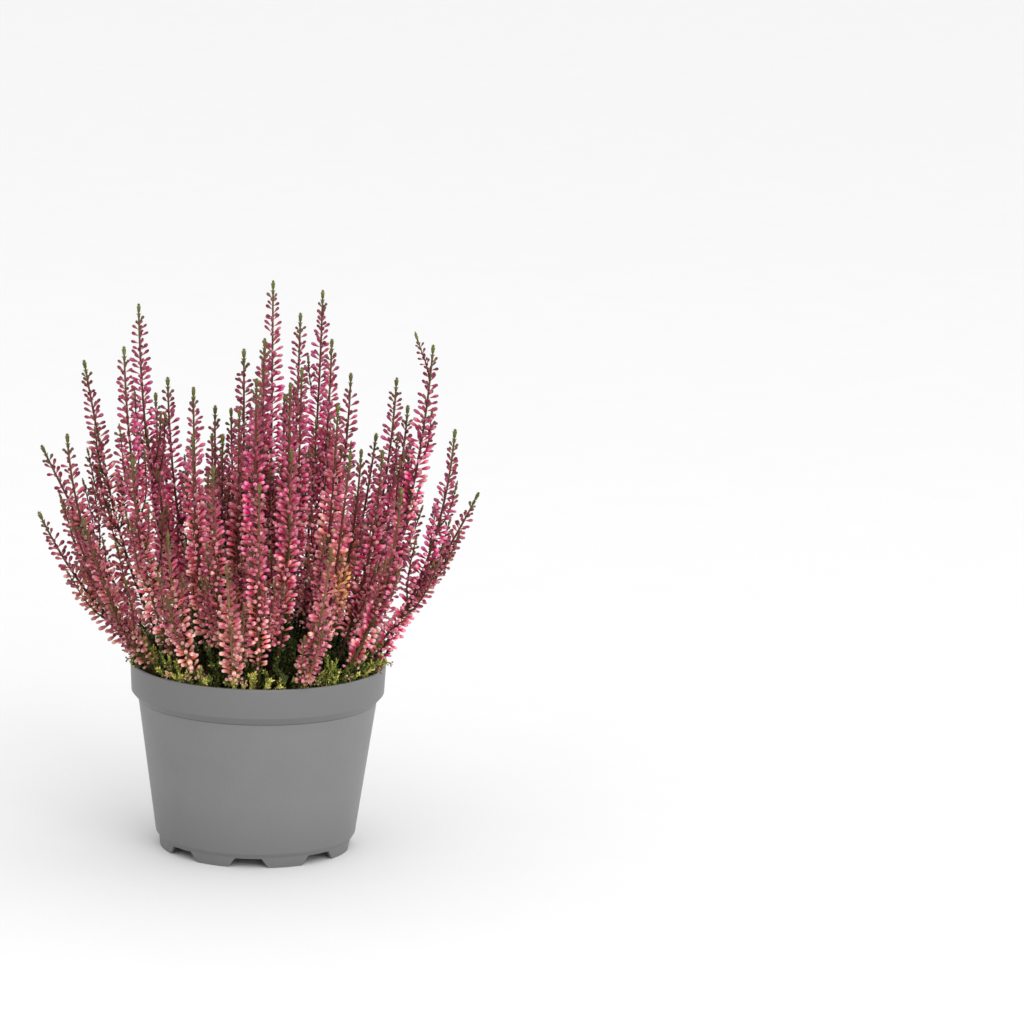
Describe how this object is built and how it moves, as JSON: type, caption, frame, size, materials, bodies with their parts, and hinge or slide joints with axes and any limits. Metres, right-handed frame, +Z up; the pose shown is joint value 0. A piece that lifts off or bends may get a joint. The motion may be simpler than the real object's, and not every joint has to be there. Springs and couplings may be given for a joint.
{
  "type": "potted heather",
  "caption": "Heather in flower in a round grey plastic nursery pot: a fan of upright pink flower spikes with green tips, over low leafy shoots and peat.",
  "frame": {"origin": "middle of the pot's foot ring, on the surface that it stands on", "axes": "+Z up along the pot's axis, -Y towards the side that the picture shows, +X to that side's right"},
  "size_m": [0.2247, 0.1983, 0.2906],
  "materials": {
    "pot": "satin",
    "soil": "matte",
    "spike": "matte",
    "shoot": "matte"
  },
  "bodies": {
    "root": {"pot": "pot", "soil": "soil", "spike_01": "spike", "spike_02": "spike", "spike_03": "spike", "spike_04": "spike", "spike_05": "spike", "spike_06": "spike", "spike_07": "spike", "spike_08": "spike", "spike_09": "spike", "spike_10": "spike", "spike_11": "spike", "spike_12": "spike", "spike_13": "spike", "spike_14": "spike", "spike_15": "spike", "spike_16": "spike", "spike_17": "spike", "spike_18": "spike", "spike_19": "spike", "spike_20": "spike", "spike_21": "spike", "spike_22": "spike", "spike_23": "spike", "spike_24": "spike", "spike_25": "spike", "spike_26": "spike", "spike_27": "spike", "spike_28": "spike", "spike_29": "spike", "spike_30": "spike", "spike_31": "spike", "spike_32": "spike", "spike_33": "spike", "spike_34": "spike", "spike_35": "spike", "spike_36": "spike", "spike_37": "spike", "spike_38": "spike", "spike_39": "spike", "spike_40": "spike", "spike_41": "spike", "spike_42": "spike", "spike_43": "spike", "spike_44": "spike", "spike_45": "spike", "spike_46": "spike", "spike_47": "spike", "spike_48": "spike", "spike_49": "spike", "spike_50": "spike", "spike_51": "spike", "spike_52": "spike", "leafy_shoot_01": "shoot", "leafy_shoot_02": "shoot", "leafy_shoot_03": "shoot", "leafy_shoot_04": "shoot", "leafy_shoot_05": "shoot", "leafy_shoot_06": "shoot"}
  },
  "joints": []
}
